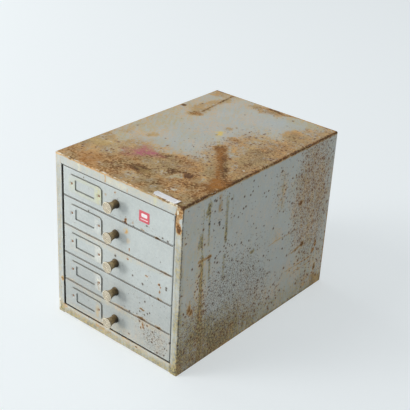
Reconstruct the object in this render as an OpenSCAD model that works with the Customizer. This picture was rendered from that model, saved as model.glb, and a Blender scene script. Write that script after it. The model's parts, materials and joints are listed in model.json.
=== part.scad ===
// Small sheet-steel cabinet with a stack of equal drawers that slide on welded runners.
// X runs across the front, Y runs from the front to the back and Z is up, in millimetres.
// The origin is the middle of the casing's footprint, on the surface that it stands on.

/* [Casing] */
// Overall width of the casing
cab_w = 200; // [170:1:260]
// Depth of the casing, without the knobs
cab_d = 297; // [220:1:360]
// Overall height of the casing
cab_h = 221.5; // [200:0.5:300]
// Thickness of the casing sheet
sheet = 0.8; // [0.6:0.1:1.2]
// Outer radius of the casing's folds
fold_r = 1.5; // [1.3:0.1:2.5]
// Width of the face strip at each side of the drawers
side_strip = 9.8; // [8:0.1:14]
// Height of the face strip above the drawers
top_strip = 12.3; // [8:0.1:20]
// Height of the face strip below the drawers
base_strip = 13.2; // [9:0.1:20]
// Width of the open seam where two face strips meet
seam = 0.3; // [0.2:0.05:0.8]
// Depth of the lips that weld the bottom and the back to the casing
weld_lip = 10; // [6:0.5:12]
// Gap that paint and weld leave between two welded sheets
weld_gap = 0.05; // [0.02:0.01:0.1]

/* [Drawers] */
// Number of drawers in the stack
drawer_count = 5; // [3:1:6]
// Thickness of the drawer sheet
drawer_sheet = 0.6; // [0.5:0.1:0.8]
// Outer radius of the drawer's folds
drawer_fold_r = 1.1; // [0.9:0.1:1.5]
// Gap between two drawer fronts
row_gap = 0.8; // [0.6:0.1:2]
// Gap between the top drawer front and the strip above it
top_gap = 0.6; // [0.4:0.1:2]
// Gap between the bottom drawer front and the strip below it
base_gap = 1.7; // [0.6:0.1:2.5]
// Gap at each side of a centred drawer front
side_gap = 2.4; // [1.5:0.1:3.5]
// How far the drawers lie to the right within their play
drawer_shift = 0.9; // [0:0.1:1]
// Depth of the returns folded round a drawer front
front_return = 8; // [5:0.5:12]
// Width of the notch where two returns meet at a corner
corner_notch = 0.4; // [0.2:0.1:0.8]
// How far the tray's sides lie inside the edges of the front
tray_inset = 4; // [2.5:0.1:6]
// Height of the tray's underside above the front's lower edge
tray_lift = 3.5; // [2.8:0.1:6]
// Drop from the front's upper edge to the rim of the tray
tray_drop = 5; // [3:0.1:10]
// Depth of the hem folded over the tray's rim
hem_depth = 4; // [2:0.1:6]
// Space inside the folded hem
hem_gap = 0.1; // [0.05:0.05:0.3]
// Free space behind a closed drawer
rear_space = 6; // [3:0.5:20]

/* [Runners] */
// Thickness of the runner strip
runner_sheet = 0.8; // [0.6:0.1:1.2]
// Play between a centred tray and the guide wall at each side
runner_play = 1.2; // [1.1:0.1:2]
// Height of the guide wall beside the tray
guide_h = 6; // [4:0.5:9]
// Height of the leg welded to the casing's side
runner_leg = 9; // [6:0.5:12]
// How far the ledge reaches inside the guide wall
ledge_reach = 7; // [5:0.5:9]
// Running gap between the tray and the ledge
slide_gap = 0.2; // [0.1:0.05:0.3]
// Gap between the front's returns and the runner ends that stop the drawer
stop_gap = 0.3; // [0.2:0.05:0.5]

/* [Label frame] */
// Width of the stamped plate
frame_w = 53.5; // [45:0.5:60]
// Height of the stamped plate
frame_h = 22.2; // [18:0.1:24]
// Thickness of the stamped plate
frame_t = 0.6; // [0.5:0.1:0.8]
// Slot for the card behind the plate
card_slot = 0.8; // [0.6:0.1:1.6]
// Left edge of the plate, from the left edge of the drawer front
frame_left = 11.3; // [8:0.1:14]
// Width of the window
window_w = 32.5; // [28:0.1:36]
// Height of the window
window_h = 13.8; // [11:0.1:15]
// Left edge of the window, from the left edge of the plate
window_left = 10; // [8:0.1:11]
// Radius of the window's corners
window_r = 1.8; // [0.5:0.1:3]
// Radius of the plate's upper corners
frame_r = 4; // [1:0.1:5]
// Distance from each end of the plate to its rivet
rivet_inset = 4.1; // [3.8:0.1:5]
// Mouth diameter of the dished well round a rivet
well_d = 6; // [5:0.1:7]
// Diameter of the rivet's shank
rivet_d = 2; // [1.6:0.1:2.4]
// Diameter of the rivet's head
rivet_head_d = 3; // [2.6:0.1:3.2]
// Height of the rivet's head
rivet_head_h = 0.7; // [0.5:0.1:1]
// Length of the clinched end inside the drawer
rivet_tail_h = 0.8; // [0.5:0.1:1.2]
// Clearance round and under rivets, knobs and screws
fit_gap = 0.05; // [0.03:0.01:0.1]

/* [Knob] */
// Length of the knob
knob_len = 15; // [12:0.1:18]
// Diameter of the knob's rim
knob_d = 14; // [12:0.1:16]
// Thickness of the knob's rim
rim_t = 1.6; // [1.2:0.1:2.4]
// Radius on the two edges of the rim
rim_r = 0.5; // [0.3:0.1:0.6]
// Diameter of the knob's waist
waist_d = 9; // [7:0.1:9.4]
// Height of the waist above the drawer front
waist_at = 5; // [3:0.1:6]
// Diameter of the knob's foot
foot_d = 11; // [10.4:0.1:12]
// Thickness of the knob's foot
foot_t = 1.5; // [1:0.1:2]
// Number of rings turned in the knob's face
ring_count = 4; // [3:1:5]
// Depth of the turned rings
ring_depth = 0.35; // [0.2:0.05:0.5]
// Diameter of the screw's thread
screw_d = 3.5; // [3:0.1:4]
// Length of thread inside the knob
screw_grip = 7; // [5:0.5:9]
// Diameter of the screw's head
screw_head_d = 7; // [5.5:0.1:8]
// Height of the screw's head
screw_head_h = 2.2; // [1.8:0.1:2.8]
// Width of the slot in the screw's head
slot_w = 0.9; // [0.6:0.1:1.2]
// Depth of the slot in the screw's head
slot_depth = 1; // [0.6:0.1:1.2]

/* [Hidden] */
$fn = 48;
cut = 1;                       // overlap of a cutting solid past the face that it cuts
front_y = -cab_d / 2;
back_y = cab_d / 2;
wall_x = cab_w / 2 - sheet;    // inner face of the casing's sides

open_w = cab_w - 2 * side_strip;
open_h = cab_h - top_strip - base_strip;

front_w = open_w - 2 * side_gap;
front_h = (open_h - top_gap - base_gap - (drawer_count - 1) * row_gap) / drawer_count;
pitch = front_h + row_gap;

tray_w = front_w - 2 * tray_inset;
tray_h = front_h - tray_lift - tray_drop;
tray_y = front_y + drawer_sheet + weld_gap;
tray_d = back_y - sheet - rear_space - tray_y;

lip_end_y = back_y - weld_lip - 2 * weld_gap;       // where the back panel's lips begin
guide_x = tray_w / 2 + runner_play;
runner_y = front_y + front_return + stop_gap;
runner_d = lip_end_y - runner_y;

frame_x = -front_w / 2 + frame_left;
plate_y = front_y - card_slot - frame_t;            // outer face of the plate
well_floor_y = front_y - fit_gap;
front_stack = 2 * drawer_sheet + weld_gap;          // front sheet with the tray's end behind it

colour_paint = [0.66, 0.71, 0.69];
colour_inside = [0.55, 0.60, 0.58];
colour_steel = [0.62, 0.62, 0.60];
colour_brass = [0.71, 0.61, 0.42];

DRAWERS = [for (n = [1 : drawer_count]) str("drawer_", n, "_")];
DRAWER_PIECES = ["front", "tray", "label_frame", "label_rivets", "knob", "knob_screw"];

// Lower edge of drawer front n, counted from the top of the stack
function front_z(n) = cab_h - top_strip - top_gap - front_h - (n - 1) * pitch;

// Rectangle from (x0, y0) to (x1, y1) with its own radius at each corner,
// in the order lower left, lower right, upper right, upper left
module rounded_rect(x0, y0, x1, y1, radii) {
    corners = [[x0, y0, 1, 1], [x1, y0, -1, 1], [x1, y1, -1, -1], [x0, y1, 1, -1]];
    difference() {
        translate([x0, y0]) square([x1 - x0, y1 - y0]);
        for (k = [0 : 3])
            if (radii[k] > 0)
                translate([corners[k][0], corners[k][1]])
                    fillet_corner(corners[k][2], corners[k][3], radii[k]);
    }
}

// What a round corner of radius r leaves out; sx and sy point from the corner into the rectangle
module fillet_corner(sx, sy, r)
    difference() {
        translate([sx > 0 ? -cut : -r, sy > 0 ? -cut : -r]) square([r + cut, r + cut]);
        translate([sx * r, sy * r]) circle(r);
    }

// Extrudes a profile drawn in X and Z along Y, from y0 to y1
module along_y(y0, y1)
    translate([0, y1, 0]) rotate([90, 0, 0]) linear_extrude(y1 - y0) children();

// Extrudes a profile drawn in Y and Z along X, from x0 to x1
module along_x(x0, x1)
    translate([x0, 0, 0]) rotate([90, 0, 90]) linear_extrude(x1 - x0) children();

// Extrudes a profile drawn in X and Y along Z, from z0 to z1
module along_z(z0, z1)
    translate([0, 0, z0]) linear_extrude(z1 - z0) children();

// Turns a solid made along +Z so that it stands out of the front, along -Y, at (x, y, z)
module out_of_front(x, y, z)
    translate([x, y, z]) rotate([90, 0, 0]) children();

// The volume inside the casing's outer folds, taken in by inset on every closed side.
// The back and the underside are left open by reaching past them.
module casing_volume(inset, past) {
    r = fold_r - inset;
    x = cab_w / 2 - inset;
    intersection() {
        along_y(front_y + inset, back_y + past)
            rounded_rect(-x, -past, x, cab_h - inset, [0, 0, r, r]);
        along_z(-past, cab_h - inset)
            rounded_rect(-x, front_y + inset, x, back_y + past, [r, r, 0, 0]);
        along_x(-x, x)
            rounded_rect(front_y + inset, -past, back_y + past, cab_h - inset, [0, 0, 0, r]);
    }
}

// Top and two sides folded from one sheet, with the face strips turned in at the front
module shell()
    color(colour_paint)
    difference() {
        casing_volume(0, 0);
        casing_volume(sheet, cut);
        translate([-open_w / 2, front_y - cut, -cut])
            cube([open_w, fold_r + 2 * cut, cab_h - top_strip + cut]);
        for (s = [-1, 1])
            translate([s * (open_w / 2 + seam / 2) - seam / 2, front_y - cut, cab_h - top_strip - cut])
                cube([seam, sheet + cut, top_strip + cut - fold_r]);
    }

// Floor of the casing, with the lower face strip and the lips that weld it to the sides
module bottom_pan() {
    x = wall_x - weld_gap;
    strip_x = open_w / 2 - seam;
    floor_y = front_y + fold_r + weld_gap;
    ri = fold_r - sheet;
    color(colour_paint) {
        difference() {
            along_x(-strip_x, strip_x) rounded_rect(front_y, 0, back_y, base_strip, [fold_r, 0, 0, 0]);
            along_x(-strip_x - cut, strip_x + cut)
                rounded_rect(front_y + sheet, sheet, back_y + cut, base_strip + cut, [ri, 0, 0, 0]);
        }
        difference() {
            along_y(floor_y, back_y) rounded_rect(-x, 0, x, weld_lip, [fold_r, fold_r, 0, 0]);
            along_y(floor_y - cut, back_y + cut)
                rounded_rect(-x + sheet, sheet, x - sheet, weld_lip + cut, [ri, ri, 0, 0]);
            for (s = [-1, 1])
                translate([s * x - (s > 0 ? fold_r : cut), lip_end_y, sheet])
                    cube([fold_r + cut, cab_d, weld_lip]);
        }
    }
}

// Back of the casing, a shallow pan with its lips turned forward inside the sides and the top
module back_panel() {
    x = wall_x - weld_gap;
    z0 = sheet + weld_gap;
    z1 = cab_h - sheet - weld_gap;
    lip_y = back_y - weld_lip;
    r = fold_r;
    ri = fold_r - sheet;
    color(colour_paint)
    difference() {
        intersection() {
            along_z(z0, z1) rounded_rect(-x, lip_y, x, back_y, [0, 0, r, r]);
            along_x(-x, x) rounded_rect(lip_y, z0, back_y, z1, [0, r, r, 0]);
            along_y(lip_y, back_y) rounded_rect(-x, z0, x, z1, [r, r, r, r]);
        }
        intersection() {
            along_z(z0 + sheet, z1 - sheet)
                rounded_rect(-x + sheet, lip_y - cut, x - sheet, back_y - sheet, [0, 0, ri, ri]);
            along_x(-x + sheet, x - sheet)
                rounded_rect(lip_y - cut, z0 + sheet, back_y - sheet, z1 - sheet, [0, ri, ri, 0]);
        }
        for (s = [-1, 1], z = [z0, z1])
            translate([s * x - r, lip_y - cut, z - r])
                cube([2 * r, weld_lip + cut - r, 2 * r]);
    }
}

// Section of a runner on the right-hand side, with the ledge's upper face at zero height:
// a ledge under the tray, a guide wall beside it, a step outwards and a leg on the casing's side
module runner_section() {
    step_z = guide_h;
    x_wall = wall_x - weld_gap;
    translate([guide_x - ledge_reach, -runner_sheet]) square([ledge_reach + runner_sheet, runner_sheet]);
    translate([guide_x, -runner_sheet]) square([runner_sheet, guide_h + runner_sheet]);
    translate([guide_x, step_z - runner_sheet]) square([x_wall - guide_x, runner_sheet]);
    translate([x_wall - runner_sheet, step_z - runner_sheet])
        square([runner_sheet, runner_leg + runner_sheet]);
}

// Runner for drawer n; side is -1 on the left and 1 on the right
module runner(n, side)
    color(colour_inside)
    translate([0, 0, front_z(n) + tray_lift - slide_gap])
    mirror([side < 0 ? 1 : 0, 0, 0])
    along_y(runner_y, runner_y + runner_d) runner_section();

// Drawer front: a face with a return folded back along each of its four edges
module drawer_front(n) {
    x = front_w / 2;
    z0 = front_z(n);
    z1 = z0 + front_h;
    r = drawer_fold_r;
    ri = drawer_fold_r - drawer_sheet;
    t = drawer_sheet;
    end_y = front_y + front_return;
    color(colour_paint)
    translate([drawer_shift, 0, 0])
    difference() {
        intersection() {
            along_z(z0, z1) rounded_rect(-x, front_y, x, end_y, [r, r, 0, 0]);
            along_x(-x, x) rounded_rect(front_y, z0, end_y, z1, [r, 0, 0, r]);
        }
        intersection() {
            along_z(z0 + t, z1 - t) rounded_rect(-x + t, front_y + t, x - t, end_y + cut, [ri, ri, 0, 0]);
            along_x(-x + t, x - t) rounded_rect(front_y + t, z0 + t, end_y + cut, z1 - t, [ri, 0, 0, ri]);
        }
        for (s = [-1, 1], z = [z0, z1])
            translate([s * (x - t - corner_notch / 2) - corner_notch / 2, front_y + r, z - t - cut])
                cube([corner_notch, front_return, 2 * (t + cut)]);
        front_holes(n);
    }
}

// Holes through the drawer front and the tray behind it, for the knob's screw and the rivets
module front_holes(n) {
    z = label_z(n);
    depth = front_stack + 2 * cut;
    out_of_front(0, front_y + front_stack + cut, z) cylinder(d = screw_d + 2 * fit_gap, h = depth);
    for (x = rivet_xs())
        out_of_front(x, front_y + front_stack + cut, z) cylinder(d = rivet_d + 2 * fit_gap, h = depth);
}

// Height of the middle of drawer front n, where its knob and label frame sit
function label_z(n) = front_z(n) + front_h / 2;

// The two rivets' places across a drawer front, from its middle
function rivet_xs() = [frame_x + rivet_inset, frame_x + frame_w - rivet_inset];

// Tray folded from one sheet, with a hem turned in over the rim of each side
module drawer_tray(n) {
    x = tray_w / 2;
    t = drawer_sheet;
    z0 = front_z(n) + tray_lift;
    z1 = z0 + tray_h;
    r = drawer_fold_r;
    ri = r - t;
    end_y = tray_y + tray_d;
    hem_w = 2 * t + hem_gap;
    color(colour_inside)
    translate([drawer_shift, 0, 0]) {
        difference() {
            intersection() {
                along_y(tray_y, end_y) rounded_rect(-x, z0, x, z1 - hem_w / 2, [r, r, 0, 0]);
                along_x(-x, x) rounded_rect(tray_y, z0, end_y, z1, [r, r, 0, 0]);
            }
            intersection() {
                along_y(tray_y + t, end_y - t) rounded_rect(-x + t, z0 + t, x - t, z1 + cut, [ri, ri, 0, 0]);
                along_x(-x + t, x - t) rounded_rect(tray_y + t, z0 + t, end_y - t, z1 + cut, [ri, ri, 0, 0]);
            }
            front_holes(n);
        }
        for (s = [-1, 1])
            mirror([s < 0 ? 1 : 0, 0, 0])
            along_y(tray_y + r, end_y - r) hem_section(x, z1, hem_w);
    }
}

// Section of the hem on the right-hand side of a tray whose side lies at x and whose rim lies at z
module hem_section(x, z, hem_w) {
    t = drawer_sheet;
    difference() {
        union() {
            translate([x - hem_w / 2, z - hem_w / 2]) circle(d = hem_w);
            translate([x - hem_w, z - hem_depth]) square([hem_w, hem_depth - hem_w / 2]);
        }
        translate([x - t - hem_gap, z - hem_depth - cut])
            square([hem_gap, hem_depth - hem_w / 2 + cut]);
    }
}

// Stamped label frame: a plate with a window and a bottom lip, dished round its two rivets
module label_frame(n) {
    z = label_z(n);
    z0 = z - frame_h / 2;
    z1 = z + frame_h / 2;
    lip_y = front_y - fit_gap;
    wx = frame_x + window_left;
    well_h = card_slot + frame_t - fit_gap;
    seat_d = rivet_head_d + 2 * fit_gap;
    color(colour_paint)
    translate([drawer_shift, 0, 0])
    difference() {
        union() {
            along_y(plate_y, plate_y + frame_t)
                rounded_rect(frame_x, z0, frame_x + frame_w, z1, [0, 0, frame_r, frame_r]);
            translate([frame_x, plate_y, z0]) cube([frame_w, lip_y - plate_y, frame_t]);
            for (x = rivet_xs())
                out_of_front(x, well_floor_y, z)
                    cylinder(d1 = seat_d + 2 * frame_t, d2 = well_d + 2 * frame_t, h = well_h - frame_t);
        }
        along_y(plate_y - cut, plate_y + frame_t + cut)
            rounded_rect(wx, z - window_h / 2, wx + window_w, z + window_h / 2,
                         [window_r, window_r, window_r, window_r]);
        for (x = rivet_xs())
            out_of_front(x, well_floor_y - frame_t, z)
                cylinder(d1 = seat_d, d2 = well_d, h = well_h - frame_t);
        for (x = rivet_xs())
            out_of_front(x, well_floor_y + cut, z)
                cylinder(d = rivet_d + 2 * fit_gap, h = card_slot + frame_t + 2 * cut);
    }
}

// The two rivets of a label frame, each with a domed head and a clinched end
module label_rivets(n)
    color(colour_steel)
    translate([drawer_shift, 0, 0])
    for (x = rivet_xs())
        out_of_front(x, well_floor_y - frame_t - fit_gap, label_z(n))
            rotate_extrude() rivet_profile();

// Half section of a rivet whose head rests on zero height
module rivet_profile() {
    grip = front_stack + frame_t + 3 * fit_gap;
    tail_r = (rivet_d + rivet_tail_h) / 2;
    dome_profile(rivet_head_d, rivet_head_h);
    translate([0, -grip - rivet_tail_h / 2])
        square([rivet_d / 2, grip + rivet_tail_h / 2 + rivet_head_h / 2]);
    polygon([[0, -grip], [tail_r, -grip], [rivet_d / 2, -grip - rivet_tail_h], [0, -grip - rivet_tail_h]]);
}

// Half section of a low dome, d across its flat underside and h high
module dome_profile(d, h) {
    ball_r = (d * d / 4 + h * h) / (2 * h);
    intersection() {
        translate([0, h - ball_r]) circle(ball_r);
        square([d, h + cut]);
    }
}

// Knob turned from bar: a round foot, a hollow waist and a rimmed face with rings
module knob(n)
    color(colour_brass)
    out_of_front(drawer_shift, front_y - fit_gap, label_z(n))
    difference() {
        rotate_extrude() knob_profile();
        translate([0, 0, -cut]) cylinder(d = screw_d + 2 * fit_gap, h = screw_grip + 3 * cut);
    }

// Half section of the knob, with its radius in X and its length in Y
module knob_profile() {
    rim_z = knob_len - rim_t;
    rise = rim_z - waist_at;
    flare = knob_d / 2 - rim_r - waist_d / 2;
    hollow_r = (flare * flare + rise * rise) / (2 * flare);
    ring_pitch = (knob_d / 2 - rim_r) / (ring_count + 0.5);
    difference() {
        union() {
            rounded_rect(0, 0, foot_d / 2, foot_t, [0, rim_r, rim_r, 0]);
            difference() {
                translate([0, foot_t - rim_r]) square([knob_d / 2 - rim_r, rim_z - foot_t + 2 * rim_r]);
                translate([waist_d / 2 + hollow_r, waist_at]) circle(hollow_r, $fn = 96);
                translate([foot_d / 2 - rim_r, 0]) square([knob_d, foot_t]);
            }
            rounded_rect(0, rim_z, knob_d / 2, knob_len, [0, rim_r, rim_r, 0]);
        }
        for (k = [1 : ring_count])
            translate([k * ring_pitch, knob_len + ring_depth / 2])
                rotate(45) square(ring_depth * 3 * sqrt(0.5), center = true);
    }
}

// Slotted pan-head screw that holds the knob from inside the drawer
module knob_screw(n)
    color(colour_steel)
    out_of_front(drawer_shift, front_y + front_stack + fit_gap, label_z(n))
    difference() {
        rotate_extrude() screw_profile();
        translate([-screw_head_d, -slot_w / 2, -screw_head_h - cut])
            cube([2 * screw_head_d, slot_w, slot_depth + cut]);
    }

// Half section of the knob's screw, whose head lies under zero height
module screw_profile() {
    translate([0, -screw_head_h / 2]) square([screw_d / 2, front_stack + screw_grip + screw_head_h / 2]);
    rounded_rect(0, -screw_head_h, screw_head_d / 2, 0, [0, screw_head_h / 2, 0, 0]);
}

// The piece of drawer n that a node's name ends in
module drawer_piece(n, piece) {
    if (piece == "front") drawer_front(n);
    if (piece == "tray") drawer_tray(n);
    if (piece == "label_frame") label_frame(n);
    if (piece == "label_rivets") label_rivets(n);
    if (piece == "knob") knob(n);
    if (piece == "knob_screw") knob_screw(n);
}

shell();
bottom_pan();
back_panel();
for (n = [1 : drawer_count]) {
    runner(n, -1);
    runner(n, 1);
    for (piece = DRAWER_PIECES)
        drawer_piece(n, piece);
}
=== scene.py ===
import json
import math
import random

import bmesh
import bpy
from mathutils import Matrix, Vector

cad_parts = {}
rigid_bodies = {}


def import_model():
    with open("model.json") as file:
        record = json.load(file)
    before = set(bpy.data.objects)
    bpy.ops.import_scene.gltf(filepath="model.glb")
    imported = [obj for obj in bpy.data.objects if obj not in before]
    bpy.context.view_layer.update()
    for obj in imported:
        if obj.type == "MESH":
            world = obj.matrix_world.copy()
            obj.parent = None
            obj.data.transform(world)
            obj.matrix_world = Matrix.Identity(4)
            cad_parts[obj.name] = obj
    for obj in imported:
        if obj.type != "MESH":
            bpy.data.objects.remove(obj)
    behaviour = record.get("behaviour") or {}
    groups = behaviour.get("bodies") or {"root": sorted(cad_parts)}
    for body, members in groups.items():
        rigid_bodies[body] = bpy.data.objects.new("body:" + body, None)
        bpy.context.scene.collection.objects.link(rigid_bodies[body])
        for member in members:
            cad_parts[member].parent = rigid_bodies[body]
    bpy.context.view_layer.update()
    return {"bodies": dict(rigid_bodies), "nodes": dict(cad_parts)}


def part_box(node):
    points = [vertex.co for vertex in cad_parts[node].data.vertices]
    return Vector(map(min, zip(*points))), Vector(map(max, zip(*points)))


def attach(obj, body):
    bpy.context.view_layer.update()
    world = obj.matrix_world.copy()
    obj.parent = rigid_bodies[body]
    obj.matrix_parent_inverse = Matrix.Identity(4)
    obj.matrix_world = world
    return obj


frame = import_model()
nodes = frame["nodes"]
mm = 0.001


# small helpers for shader trees: a value may be a number, a colour or another node's output
def feed(tree, socket, value):
    if isinstance(value, bpy.types.NodeSocket):
        tree.links.new(value, socket)
    else:
        socket.default_value = value


def addNode(tree, kind, inputs=None, **settings):
    node = tree.nodes.new(kind)
    for name, value in settings.items():
        setattr(node, name, value)
    for key, value in (inputs or {}).items():
        feed(tree, node.inputs[key], value)
    return node


def calc(tree, operation, *values):
    node = addNode(tree, "ShaderNodeMath", operation=operation)
    for socket, value in zip(node.inputs, values):
        feed(tree, socket, value)
    return node.outputs[0]


# holds a value between 0 and 1; the nodes' own clamp options use up the renderer's shader memory
def hold(tree, value):
    return calc(tree, "MINIMUM", calc(tree, "MAXIMUM", value, 0.0), 1.0)


def vectorCalc(tree, operation, first, second=None, output="Vector"):
    node = addNode(tree, "ShaderNodeVectorMath", {0: first}, operation=operation)
    if second is not None:
        feed(tree, node.inputs[1], second)
    return node.outputs[output]


def scaleVector(tree, vector, factor):
    return addNode(tree, "ShaderNodeVectorMath", {0: vector, "Scale": factor}, operation="SCALE").outputs[0]


def joinVector(tree, x, y, z):
    return addNode(tree, "ShaderNodeCombineXYZ", {0: x, 1: y, 2: z}).outputs[0]


def splitVector(tree, vector):
    return addNode(tree, "ShaderNodeSeparateXYZ", {0: vector}).outputs


def blend(tree, amount, first, second):
    return addNode(tree, "ShaderNodeMix", {0: amount, 6: first, 7: second}, data_type="RGBA").outputs[2]


def ease(tree, value, low, high, outLow=0.0, outHigh=1.0):
    node = addNode(tree, "ShaderNodeMapRange", {0: value, 1: low, 2: high, 3: outLow, 4: outHigh},
                   interpolation_type="SMOOTHSTEP", clamp=False)
    return node.outputs[0]


def cloud(tree, where, scale, detail=4.0, roughness=0.55, seed=0.0):
    moved = vectorCalc(tree, "ADD", where, (seed, seed * 0.7, seed * 1.3)) if seed else where
    return addNode(tree, "ShaderNodeTexNoise", {"Vector": moved, "Scale": scale, "Detail": detail,
                   "Roughness": roughness}, noise_dimensions="3D").outputs[0]


# a noise moved to swing about nothing, by the given amount
def swing(tree, noise, amount):
    return calc(tree, "MULTIPLY", calc(tree, "SUBTRACT", noise, 0.5), amount)


def ramp(tree, value, stops):
    node = addNode(tree, "ShaderNodeValToRGB", {0: value})
    elements = node.color_ramp.elements
    while len(elements) < len(stops):
        elements.new(0.5)
    for element, (place, colour) in zip(elements, stops):
        element.position = place
        element.color = (*colour, 1.0)
    return node.outputs[0]


def makeGroup(name, inputs, outputs):
    group = bpy.data.node_groups.new(name, "ShaderNodeTree")
    kinds = {"vector": "NodeSocketVector", "value": "NodeSocketFloat", "colour": "NodeSocketColor"}
    for label, kind, default in inputs:
        socket = group.interface.new_socket(label, in_out="INPUT", socket_type=kinds[kind])
        if default is not None:
            socket.default_value = default
    for label, kind in outputs:
        group.interface.new_socket(label, in_out="OUTPUT", socket_type=kinds[kind])
    source = group.nodes.new("NodeGroupInput").outputs
    result = group.nodes.new("NodeGroupOutput").inputs
    return group, source, result


def useGroup(tree, group, **inputs):
    node = tree.nodes.new("ShaderNodeGroup")
    node.node_tree = group
    for label, value in inputs.items():
        feed(tree, node.inputs[label], value)
    return node.outputs


# camera, lamps and floor
viewSettings = {
    "lens": 82.875,                          # mm, on a 36 mm sensor
    "place": (0.66680, -0.82070, 0.68431),
    "aim": (0.00023, 0.01219, 0.12874),
    "roll": 3.25,                            # degrees
}
lightSettings = {
    "lamps": {                               # place, aim, width in metres and power in watts
        "keyLamp": ((-1.35, -1.75, 2.0), (0.0, 0.0, 0.1), 1.7, 24.0),
        "frontLamp": ((-1.6, -2.0, 0.3), (0.0, 0.0, 0.1), 0.9, 34.0),
        "leftLamp": ((-2.4, 0.2, 1.0), (0.0, 0.0, 0.1), 1.5, 11.0),
    },
    "skyColour": (0.97, 0.99, 1.0),
    "skyStrength": 0.41,
    "backdropColour": (1.06, 1.12, 1.15),
    "floorSize": 12.0,
    "floorColour": (0.925, 0.975, 0.995),
    "floorGlow": 0.42,                       # share of plain backdrop colour that the camera sees
}


def addCamera(look):
    camera = bpy.data.objects.new("camera", bpy.data.cameras.new("camera"))
    bpy.context.collection.objects.link(camera)
    camera.data.lens = look["lens"]
    place = Vector(look["place"])
    turn = (Vector(look["aim"]) - place).to_track_quat("-Z", "Y").to_matrix().to_4x4()
    roll = Matrix.Rotation(math.radians(look["roll"]), 4, "Z")
    camera.matrix_world = Matrix.Translation(place) @ turn @ roll
    bpy.context.scene.camera = camera


def addLamps(look):
    for name, (place, aim, width, power) in look["lamps"].items():
        lamp = bpy.data.lights.new(name, "AREA")
        lamp.shape = "DISK"
        lamp.size = width
        lamp.energy = power
        holder = bpy.data.objects.new(name, lamp)
        bpy.context.collection.objects.link(holder)
        holder.location = place
        holder.rotation_euler = (Vector(aim) - holder.location).to_track_quat("-Z", "Y").to_euler()


# 1 for the rays that see the studio itself, 0 for those that carry its light
def seenRays(tree):
    path = addNode(tree, "ShaderNodeLightPath").outputs
    return calc(tree, "MAXIMUM", path["Is Camera Ray"],
                calc(tree, "MAXIMUM", path["Is Glossy Ray"], path["Is Transmission Ray"]))


def setSky(look):
    world = bpy.data.worlds.new("sky")
    bpy.context.scene.world = world
    world.use_nodes = True
    tree = world.node_tree
    tree.nodes.clear()
    dim = addNode(tree, "ShaderNodeBackground", {0: (*look["skyColour"], 1.0), 1: look["skyStrength"]})
    bright = addNode(tree, "ShaderNodeBackground", {0: (*look["backdropColour"], 1.0), 1: 1.0})
    mix = addNode(tree, "ShaderNodeMixShader", {0: seenRays(tree), 1: dim.outputs[0], 2: bright.outputs[0]})
    addNode(tree, "ShaderNodeOutputWorld", {0: mix.outputs[0]})


def addFloor(look):
    mesh = bpy.data.meshes.new("floor")
    half = look["floorSize"] / 2
    corners = [(-half, -half, 0), (half, -half, 0), (half, half, 0), (-half, half, 0)]
    mesh.from_pydata(corners, [], [(0, 1, 2, 3)])
    floor = bpy.data.objects.new("floor", mesh)
    bpy.context.collection.objects.link(floor)
    floor.location.z = -0.2 * mm
    paper = bpy.data.materials.new("studioPaper")
    paper.use_nodes = True
    tree = paper.node_tree
    tree.nodes.clear()
    place = addNode(tree, "ShaderNodeTexCoord").outputs["Object"]
    colour = Vector(look["floorColour"])
    tooth = ease(tree, cloud(tree, place, 900.0, 3.0), 0.3, 0.7)
    grain = blend(tree, tooth, (*colour, 1.0), (*colour * 0.99, 1.0))
    matt = addNode(tree, "ShaderNodeBsdfDiffuse", {0: grain})
    glow = addNode(tree, "ShaderNodeEmission", {0: (*look["backdropColour"], 1.0), 1: 1.0})
    share = calc(tree, "MULTIPLY", seenRays(tree), look["floorGlow"])
    mix = addNode(tree, "ShaderNodeMixShader", {0: share, 1: matt.outputs[0], 2: glow.outputs[0]})
    addNode(tree, "ShaderNodeOutputMaterial", {0: mix.outputs[0]})
    mesh.materials.append(paper)


addCamera(viewSettings)
addLamps(lightSettings)
setSky(lightSettings)
addFloor(lightSettings)
bpy.context.scene.view_settings.view_transform = "Standard"
print("camera, lamps, sky and floor set")


# node groups: each gives only values, colours and masks that vary over the surface
def makeWarp():
    group, source, result = makeGroup("warp", [
        ("Position", "vector", None), ("Amount", "value", 0.003), ("Scale", "value", 60.0),
    ], [("Position", "vector")])
    drift = addNode(group, "ShaderNodeTexNoise", {"Vector": source["Position"], "Scale": source["Scale"],
                    "Detail": 5.0, "Roughness": 0.6}, noise_dimensions="3D").outputs["Color"]
    centred = vectorCalc(group, "SUBTRACT", drift, (0.5, 0.5, 0.5))
    feed(group, result["Position"], vectorCalc(
        group, "ADD", source["Position"], scaleVector(group, centred, source["Amount"])))
    return group


# 1 inside an ellipsoid, 0 outside, with a soft rim
def makeSpot():
    group, source, result = makeGroup("spot", [
        ("Position", "vector", None), ("Centre", "vector", None), ("Radius", "vector", (0.01, 0.01, 0.01)),
        ("Softness", "value", 0.5),
    ], [("Mask", "value")])
    away = vectorCalc(group, "SUBTRACT", source["Position"], source["Centre"])
    ratio = vectorCalc(group, "LENGTH", vectorCalc(group, "DIVIDE", away, source["Radius"]), output="Value")
    feed(group, result["Mask"], ease(group, ratio, calc(group, "SUBTRACT", 1.0, source["Softness"]),
                                     calc(group, "ADD", 1.0, source["Softness"]), 1.0, 0.0))
    return group


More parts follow.
